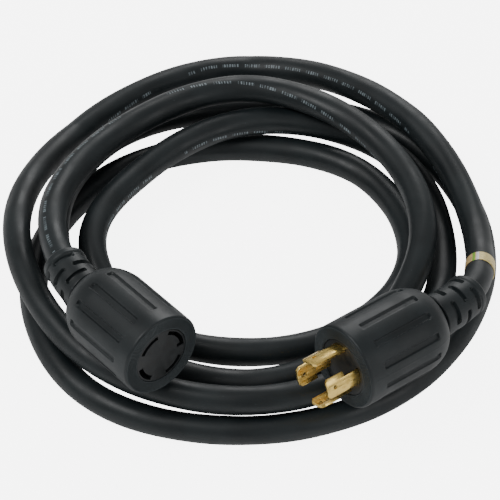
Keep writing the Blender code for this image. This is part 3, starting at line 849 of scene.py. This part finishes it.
@dataclass
class MouldedEnd:
    """The rubber grip, the ribbed ring round its face, and the bent strain relief behind it."""

    seat: Seat
    route: Route
    turn_steps: int = 360
    radius: float = 26 * MM
    length: float = 66 * MM
    dome_start: float = 45 * MM
    neck_radius: float = 14 * MM
    cavity_radius: float = 17.7 * MM
    cavity_depth: float = 48 * MM
    throat_depth: float = 56 * MM
    bore_radius: float = 8.8 * MM
    face_edge: float = 1.4 * MM
    ring_step: float = 0.62 * MM

    grooves: int = 12
    groove_half_width: float = 2.0 * MM
    groove_depth: float = 1.35 * MM
    groove_ends: tuple[float, float] = (-11 * MM, -52 * MM)
    groove_corner: float = 1.1 * MM
    softness: float = 0.75 * MM
    # How far beyond the groove, width and height; then half width, fall and height.
    groove_lip: tuple[float, float, float] = (0.55 * MM, 0.7 * MM, 0.10 * MM)
    parting_line: tuple[float, float, float] = (0.25 * MM, 0.4 * MM, 0.10 * MM)

    rib_count: int = 150
    rib_size: tuple[float, float, float] = (6.2 * MM, 0.46 * MM, 0.46 * MM)
    ring_radii: tuple[float, float] = (17.75 * MM, 25.1 * MM)
    ring_heights: tuple[float, float] = (0.02 * MM, 0.14 * MM)
    ring_steps: int = 144

    relief_neck_radius: float = 11.3 * MM
    relief_root_radius: float = 13.4 * MM
    relief_rim_radius: float = 12.7 * MM
    relief_rim_round: float = 1.3 * MM
    relief_steps: int = 200
    relief_rows: tuple[float, float, float] = (0.24, 0.51, 0.78)
    relief_slots: int = 4
    relief_slot_half: tuple[float, float] = (1.3 * MM, 7.0 * MM)  # along the relief, round it
    relief_slot_floor: float = 10.9 * MM
    relief_slot_corner: float = 0.9 * MM
    relief_slot_softness: float = 0.55 * MM
    relief_flange: tuple[float, float] = (4.2 * MM, 0.45 * MM)  # the rim's length, and how far it stands out

    def grip_outline(self) -> Outline:
        """From the face down the outer side and over the dome to the neck, then up the cavity."""
        edge, side_end = self.face_edge, -self.dome_start
        outline = [(r, 0) for r in steps_between(self.cavity_radius, self.radius - edge, 1.4 * MM)]
        outline += arc((self.radius - edge, -edge), (edge, edge), 90, 0, 5)
        outline += [(self.radius, h) for h in steps_between(-edge, side_end, self.ring_step)]
        bulge = (self.radius - self.neck_radius, self.length - self.dome_start)
        outline += arc((self.neck_radius, side_end), bulge, 0, -90, 44)
        outline += [(self.neck_radius, -self.length), (self.bore_radius, -self.length)]
        outline += [(self.bore_radius, -self.throat_depth), (self.cavity_radius, -self.cavity_depth)]
        return outline

    def grip(self, blank: bpy.types.Object) -> bpy.types.Object:
        """The grip from the turned blank: grooves and a faint parting line pressed in, set in its seat."""
        obj = Bench.copy(blank, f"{self.seat.end.value}_grip")
        points = points_of(obj)
        radius = np.hypot(points[:, 0], points[:, 1])
        angle = np.arctan2(points[:, 1], points[:, 0])
        pitch = math.tau / self.grooves
        phase = math.radians(self.seat.groove_phase)
        across = ((angle - phase + pitch / 2) % pitch - pitch / 2) * radius
        distance = slot_distance(
            across, points[:, 2], self.groove_half_width, self.groove_ends, self.groove_corner
        )
        sunk = smooth_edge(distance, self.softness) * self.groove_depth
        beyond, lip_width, lip_height = self.groove_lip
        rise = smooth_edge(np.abs(distance - beyond), lip_width) * lip_height
        seam = np.abs(np.sin(angle - phase - pitch / 2)) * radius
        half_seam, fall, seam_height = self.parting_line
        line = smooth_edge(seam - half_seam, fall) * seam_height
        outer = (radius > self.neck_radius - MM) & (points[:, 2] < -2 * self.face_edge)
        outer &= radius > self.cavity_radius + 2 * MM
        outer |= points[:, 2] < -self.throat_depth
        outer &= radius > self.bore_radius + MM
        change = np.where(outer, line + rise - sunk, 0)
        points[:, :2] *= ((radius + change) / radius)[:, None]
        set_points(obj, points)
        obj.data.transform(self.seat.frame(self.route.centre))
        Bench.smooth(obj, SOFT_FORM)
        return obj

    def face_ring(self) -> bpy.types.Object:
        """The thin ring round the insert, with its many fine ribs."""
        inner, outer = self.ring_radii
        base, top = self.ring_heights
        name = f"{self.seat.end.value}_face_ring"
        outline = [(inner, top), (outer - 0.1 * MM, top), (outer, base), (inner, base)]
        obj = Bench.turned(name, outline, self.ring_steps)
        middle = (inner + outer) / 2
        rib = Bench.block("rib", self.rib_size, Matrix.Translation((middle, 0, top + self.rib_size[2] / 3)))
        Bench.rounded(rib, 0.1 * MM, 1)
        bpy.ops.object.mode_set(mode="EDIT")
        bpy.ops.mesh.select_all(action="SELECT")
        turn = math.tau * (self.rib_count - 1) / self.rib_count
        bpy.ops.mesh.spin(steps=self.rib_count - 1, angle=turn, dupli=True, center=(0, 0, 0), axis=(0, 0, 1))
        bpy.ops.mesh.select_all(action="SELECT")
        bpy.ops.mesh.normals_make_consistent(inside=False)
        Bench.clear()
        rib.select_set(True)
        obj.select_set(True)
        bpy.context.view_layer.objects.active = obj
        bpy.ops.object.join()
        obj.data.transform(self.seat.frame(self.route.centre))
        Bench.smooth(obj, HARD_FORM)
        return obj

    def relief_outline(self, length: float) -> Outline:
        """The straight relief, from the neck back to the rim and up its bore."""
        neck_end, step = -Seat.neck_length, 0.42 * MM
        flange, proud = self.relief_flange
        sleeve_start, sleeve_end = neck_end - 1.0 * MM, flange - length
        outline = [(self.relief_neck_radius, h) for h in steps_between(0, neck_end + 0.6 * MM, step)]
        swell = self.relief_root_radius - self.relief_neck_radius
        outline += arc((self.relief_neck_radius + swell, neck_end + 0.6 * MM), (-swell, -swell), 0, 90, 5)[:2]
        outline += arc((self.relief_neck_radius, sleeve_start), (swell, 1.2 * MM), 90, 0, 6)[1:]
        heights = steps_between(sleeve_start, sleeve_end, step)
        shares = (heights - sleeve_start) / (sleeve_end - sleeve_start)
        taper = self.relief_root_radius + (self.relief_rim_radius - self.relief_root_radius) * shares
        outline += list(zip(taper, heights))
        rim = self.relief_rim_radius
        outline += [(rim + proud * s, sleeve_end - 0.5 * MM * s) for s in (0, 0.5, 1)]
        bend = self.relief_rim_round
        outline += [(rim + proud, h) for h in steps_between(sleeve_end - 0.9 * MM, bend - length, step)]
        outline += arc((rim + proud - bend, bend - length), (bend, bend), 0, -90, 6)
        outline += [(rim - 1.2 * MM, -length), (self.bore_radius + 0.5 * MM, -length)]
        outline += [(self.bore_radius, h) for h in steps_between(0.5 * MM - length, -1.5 * MM, 1.2 * MM)]
        return [*outline, (self.bore_radius, 0)]

    def relief(self, track: Track, backwards: bool) -> bpy.types.Object:
        """The strain relief: turned straight, its slots pressed in, then bent along the cord.

        Args:
            track: The cord's line.
            backwards: Whether the relief is on the line's last end.

        Returns:
            The piece.
        """
        line = Track(track.points[::-1] if backwards else track.points)
        start = self.seat.body_length + Seat.gap - Seat.cord_end_depth
        length = line.nearest(self.seat.rim + self.route.centre) - start
        obj = Bench.turned(f"{self.seat.end.value}_relief", self.relief_outline(length), self.relief_steps)
        points = points_of(obj)
        self.press_slots(points, length)
        centres, up, side = line.frames(start - points[:, 2])
        set_points(obj, centres + points[:, 1:2] * up - points[:, :1] * side)
        Bench.smooth(obj, SOFT_FORM)
        return obj

    def press_slots(self, points: np.ndarray, length: float) -> None:
        """Presses rows of slots into the straight relief, each row turned half a pitch from the last."""
        radius = np.hypot(points[:, 0], points[:, 1])
        angle = np.arctan2(points[:, 1], points[:, 0])
        pitch = math.tau / self.relief_slots
        half_length, half_width = self.relief_slot_half
        first_faces = 0 if self.seat.end is End.PLUG else 1
        sleeve = length - Seat.neck_length
        outside = radius > (self.bore_radius + self.relief_slot_floor) / 2
        for row, share in enumerate(self.relief_rows):
            turn = math.radians(self.seat.camera_side) + (row + first_faces) % 2 * pitch / 2
            around = ((angle - turn + pitch / 2) % pitch - pitch / 2) * self.relief_rim_radius
            height = -Seat.neck_length - share * sleeve
            ends = (height - half_length, height + half_length)
            distance = slot_distance(around, points[:, 2], half_width, ends, self.relief_slot_corner)
            depth = radius - self.relief_slot_floor
            sunk = smooth_edge(distance, self.relief_slot_softness) * depth
            points[:, :2] *= (1 - np.where(outside, sunk, 0) / radius)[:, None]


# ---------------------------------------------------------------- the plug's own pieces


@dataclass
class PlugFront:
    """The plug's insert and its four locking blades."""

    seat: Seat
    route: Route
    insert_radius: float = 17.5 * MM
    insert_depth: float = 10 * MM
    insert_edge: float = 0.6 * MM
    dish: tuple[float, float, float] = (10.6 * MM, 11.0 * MM, 0.25 * MM)  # floor's and mouth's radius, depth
    blade_radius: float = 14 * MM
    blade_thickness: float = 1.8 * MM
    blade_width: float = 50  # degrees round the axis
    root_width: float = 38
    blade_tip: float = 22.5 * MM
    blade_back: float = 24 * MM
    notch_top: float = 10 * MM
    hole_radius: float = 1.25 * MM
    hole_below_tip: float = 5 * MM
    chamfer: float = 1.6 * MM
    edge: float = 0.22 * MM
    tab: tuple[float, float] = (4.4 * MM, 1.8 * MM)  # inwards from the blade, thickness
    clearance: float = 0.3 * MM
    angles: tuple[tuple[Pole, float], ...] = (
        (Pole.LINE_1, 25),
        (Pole.LINE_2, 205),
        (Pole.NEUTRAL, 295),
        (Pole.GROUND, 115),
    )

    def insert(self) -> bpy.types.Object:
        """The insert: a disc with a rounded edge, a shallow dish and a slot round each blade."""
        floor, mouth, sunk = self.dish
        top = [(0, -sunk), (floor, -sunk), (mouth, 0)]
        obj = insert_disc("plug_insert", top, self.insert_radius, self.insert_depth, self.insert_edge)
        reach = math.degrees(self.clearance / self.blade_radius)
        for pole, angle in self.angles:
            first = angle - self.blade_width / 2
            cutter = curved_wall(
                f"slot_{pole.value}",
                self.blade_radius,
                self.blade_thickness + 2 * self.clearance,
                (first - reach, first + self.root_width + reach),
                (-self.insert_depth - MM, MM),
            )
            Bench.combine(obj, cutter)
        obj.data.transform(self.seat.frame(self.route.centre))
        Bench.smooth(obj, HARD_FORM)
        return obj

    def blade(self) -> bpy.types.Object:
        """One blade from angle 0: notched for locking, with a hole and two cut corners at its tip."""
        low, middle = -self.blade_back, math.radians(self.blade_width / 2)
        whole = (0, self.blade_width), (low, self.blade_tip)
        obj = curved_wall("blade", self.blade_radius, self.blade_thickness, *whole)
        wide = 3 * self.blade_thickness
        notched = (self.root_width, self.blade_width + 10), (low - MM, self.notch_top)
        Bench.combine(obj, curved_wall("notch", self.blade_radius, wide, *notched))
        Bench.clear()
        bpy.ops.mesh.primitive_cylinder_add(vertices=24, radius=self.hole_radius, depth=wide)
        hole = Bench.begun("hole")
        place = Matrix.Translation((self.blade_radius, 0, self.blade_tip - self.hole_below_tip))
        hole.data.transform(
            Matrix.Rotation(middle, 4, "Z") @ place @ Matrix.Rotation(math.pi / 2, 4, "Y")
        )
        Bench.combine(obj, hole)
        side = 4 * self.chamfer
        reach = (side / 2 - self.chamfer / math.sqrt(2)) / math.sqrt(2)
        for angle, way in ((0, -1), (self.blade_width, 1)):
            corner = Matrix.Rotation(math.radians(angle), 4, "Z") @ Matrix.Translation(
                (self.blade_radius, way * reach, self.blade_tip + reach)
            )
            cutter = Bench.block("corner", (wide, side, side), corner @ Matrix.Rotation(math.pi / 4, 4, "X"))
            Bench.combine(obj, cutter)
        return obj

    def add_tab(self, blade: bpy.types.Object) -> None:
        """Joins the ground blade's inner leg to its clockwise edge, above the notch."""
        depth, thickness = self.tab
        height = self.blade_tip - self.notch_top - self.chamfer
        centre = (self.blade_radius - depth / 2, thickness / 2 + self.clearance, self.notch_top + height / 2)
        leg = Bench.block("leg", (depth, thickness, height), Matrix.Translation(centre))
        Bench.combine(blade, leg, "UNION")

    def blades(self) -> list[tuple[Pole, bpy.types.Object]]:
        """The four blades, each a copy of one, set round the insert."""
        pattern, made = self.blade(), []
        for pole, angle in self.angles:
            obj = Bench.copy(pattern, f"blade_{pole.value}")
            if pole is Pole.GROUND:
                self.add_tab(obj)
            Bench.rounded(obj, self.edge)
            turn = Matrix.Rotation(math.radians(angle - self.blade_width / 2), 4, "Z")
            obj.data.transform(self.seat.frame(self.route.centre) @ turn)
            Bench.smooth(obj, HARD_FORM)
            made.append((pole, obj))
        bpy.data.objects.remove(pattern)
        return made


# ---------------------------------------------------------------- the connector's own piece


@dataclass
class ConnectorFront:
    """The connector's insert, with a curved slot for each blade."""

    seat: Seat
    route: Route
    insert_radius: float = 17.5 * MM
    insert_depth: float = 8 * MM
    insert_edge: float = 0.5 * MM
    leg: tuple[float, float] = (3.6 * MM, 2.4 * MM)  # the ground slot's inner leg: inwards, thickness
    slot_radius: float = 14.9 * MM
    # Thickness, first and last angle of each slot.
    slots: tuple[tuple[Pole, float, float, float], ...] = (
        (Pole.LINE_1, 2.4 * MM, 94, 147),
        (Pole.LINE_2, 2.4 * MM, -83, -33),
        (Pole.NEUTRAL, 3.0 * MM, -176, -126),
        (Pole.GROUND, 2.6 * MM, -5, 65),
    )

    def insert(self) -> bpy.types.Object:
        """The insert: a disc with a rounded edge, and the four slots."""
        radius, depth = self.slot_radius, self.insert_depth
        obj = insert_disc("connector_insert", [(0, 0)], self.insert_radius, depth, self.insert_edge)
        for pole, thickness, first, last in self.slots:
            heights = -depth - MM, MM
            cutter = curved_wall(f"cut_{pole.value}", radius, thickness, (first, last), heights)
            if pole is Pole.GROUND:
                inwards, wide = self.leg
                place = Matrix.Translation((radius - inwards / 2, wide / 2, -depth / 2))
                turn = Matrix.Rotation(math.radians(first), 4, "Z")
                block = Bench.block("leg", (inwards, wide, depth + 2 * MM), turn @ place)
                Bench.combine(cutter, block, "UNION")
            Bench.combine(obj, cutter)
        obj.data.transform(self.seat.frame(self.route.centre))
        Bench.smooth(obj, HARD_FORM)
        return obj


# ---------------------------------------------------------------- the studio


@dataclass(frozen=True)
class Lamp:
    """A square soft light that points at the coil."""

    name: str
    place: tuple[float, float, float]
    size: float
    power: float


@dataclass
class Studio:
    """The camera, the soft lights, the pale surroundings and the floor."""

    target: Vector = Vector((-0.6, -13.3, 20)) * MM
    distance: float = 1.8
    elevation: float = 48  # degrees above the ground
    lens: float = 214.6
    floor_size: float = 9.0
    floor_cells: int = 24
    surroundings: float = 0.32
    # From above on the left, from behind for the pale edges, and a low fill.
    lamps: tuple[Lamp, ...] = (
        Lamp("key", (-0.9, -0.3, 1.5), 0.7, 11),
        Lamp("back", (0.3, 1.6, 0.9), 1.0, 10),
        Lamp("fill", (1.3, -0.9, 0.9), 0.9, 4),
    )

    def camera(self) -> None:
        """Sets the camera in front of the coil, looking down at it."""
        data = bpy.data.cameras.new("camera")
        data.lens = self.lens
        camera = bpy.data.objects.new("camera", data)
        bpy.context.scene.collection.objects.link(camera)
        angle = math.radians(self.elevation)
        back = Vector((0, -math.cos(angle), math.sin(angle)))
        camera.location = self.target + back * self.distance
        camera.rotation_euler = (-back).to_track_quat("-Z", "Y").to_euler()
        bpy.context.scene.camera = camera

    def lights(self) -> None:
        """Adds the lamps."""
        for lamp in self.lamps:
            data = bpy.data.lights.new(lamp.name, "AREA")
            data.size, data.energy = lamp.size, lamp.power
            light = bpy.data.objects.new(lamp.name, data)
            bpy.context.scene.collection.objects.link(light)
            light.location = lamp.place
            light.rotation_euler = (self.target - Vector(lamp.place)).to_track_quat("-Z", "Y").to_euler()

    def world(self) -> None:
        """Plain white surroundings."""
        world = bpy.data.worlds.new("surroundings")
        world.use_nodes = True
        background = world.node_tree.nodes["Background"]
        background.inputs["Color"].default_value = (1, 1, 1, 1)
        background.inputs["Strength"].default_value = self.surroundings
        bpy.context.scene.world = world

    def floor(self) -> None:
        """A wide flat sheet of pale paper."""
        Bench.clear()
        cells = self.floor_cells
        bpy.ops.mesh.primitive_grid_add(x_subdivisions=cells, y_subdivisions=cells, size=self.floor_size)
        floor = Bench.begun("floor")
        floor.data.materials.append(PalePaper().material())


# ---------------------------------------------------------------- putting it together


def dress_inner_nodes() -> None:
    """Gives the model's own inner pieces their finishes: holders, contacts, crimps and wires."""
    ways = {seat.end: seat.axis.normalized() for seat in (PLUG_SEAT, CONNECTOR_SEAT)}
    holder = Plastic("holder_plastic", (0.015, 0.018, 0.019), (0.028, 0.031, 0.032), 0.5).material()
    spring_tones = (0.80, 0.62, 0.30), (0.52, 0.34, 0.13)
    contact = StampedMetal("spring_sheet", ways[End.CONNECTOR], *spring_tones, 0.3).material()
    tin_tones = (0.72, 0.71, 0.68), (0.48, 0.47, 0.45)
    crimps = {
        end: StampedMetal(f"tinned_metal_{end.value}", way, *tin_tones, 0.34).material()
        for end, way in ways.items()
    }
    tones = {
        Pole.LINE_1: ((0.012, 0.012, 0.012), (0.025, 0.025, 0.025)),
        Pole.LINE_2: ((0.42, 0.02, 0.02), (0.52, 0.04, 0.03)),
        Pole.NEUTRAL: ((0.70, 0.70, 0.66), (0.80, 0.80, 0.77)),
        Pole.GROUND: ((0.02, 0.25, 0.06), (0.04, 0.34, 0.10)),
    }
    wires = {
        pole: Plastic(f"insulation_{pole.value}", *pair, 0.38).material() for pole, pair in tones.items()
    }
    finishes = {"connector_contact_holder": holder, "plug_blade_holder": holder}
    for pole in Pole:
        finishes[f"connector_contact_{pole.value}"] = contact
        for end in End:
            finishes[f"{end.value}_crimp_{pole.value}"] = crimps[end]
            finishes[f"{end.value}_wire_{pole.value}"] = wires[pole]
    for name, finish in finishes.items():
        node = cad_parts[name]
        node.data.materials.clear()
        node.data.materials.append(finish)
    log.info("%d inner nodes dressed", len(finishes))


def make_ends(route: Route, track: Track) -> list[bpy.types.Object]:
    """Makes both ends' grips, face rings and strain reliefs, and returns them."""
    moulded = Rubber("moulded_rubber").material()
    # painted shade: the face ring gets a darker copy of the moulded rubber, for the shade on the upright face
    face_shade_tones = (0.006, 0.008, 0.009), (0.011, 0.013, 0.015)
    shaded_face_rubber = Rubber("shaded_face_rubber", *face_shade_tones, roughness=0.6).material()
    ends = {seat.end: MouldedEnd(seat, route) for seat in (CONNECTOR_SEAT, PLUG_SEAT)}
    blank = Bench.turned("grip_blank", ends[End.PLUG].grip_outline(), ends[End.PLUG].turn_steps)
    made = []
    for end, moulding in ends.items():
        grip = moulding.grip(blank)
        dress(grip, moulded, "moulded_rubber", f"{end.value}_body")
        ring = moulding.face_ring()
        dress(ring, shaded_face_rubber, "moulded_rubber")
        relief = moulding.relief(track, backwards=end is End.PLUG)
        dress(relief, moulded, "moulded_rubber", f"{end.value}_strain_relief")
        made += [grip, ring, relief]
    bpy.data.objects.remove(blank)
    return made


def make_fronts(route: Route) -> list[bpy.types.Object]:
    """Makes the plug's insert and blades and the connector's insert, and returns them."""
    insert_plastic = Plastic("insert_plastic").material()
    plug = PlugFront(PLUG_SEAT, route)
    made = [plug.insert()]
    dress(made[0], insert_plastic, "insert_plastic", "plug_face")
    brass = StampedMetal("brass", PLUG_SEAT.axis.normalized()).material()
    for pole, blade in plug.blades():
        dress(blade, brass, "brass", f"plug_blade_{pole.value}")
        made.append(blade)
    connector_insert = ConnectorFront(CONNECTOR_SEAT, route).insert()
    dress(connector_insert, insert_plastic, "insert_plastic", "connector_face")
    return [*made, connector_insert]


def main() -> None:
    """Builds the studio, the cord, both ends and what they hold, in that order."""
    studio = Studio()
    studio.camera()
    studio.lights()
    studio.world()
    studio.floor()

    route = Route()
    cord = PowerCord(route, JacketRubber("jacket_rubber"), PrintedFoil("printed_foil"))
    jacket, track = cord.build()
    dress(jacket, cord.finish.material(), "cord_rubber", "power_cord")
    band = cord.band(track)
    dress(band, cord.band_finish.material(), "label_foil", "cord_label_band")
    on_cord = [band, *make_ends(route, track), *make_fronts(route)]
    dress_inner_nodes()

    track.at(np.linspace(0, track.length, 900)).tolist()
    log.info("the cord is %.3f m long", track.length)


if __name__ == "__main__":
    logging.basicConfig(level=logging.INFO, format="%(message)s")
    main()
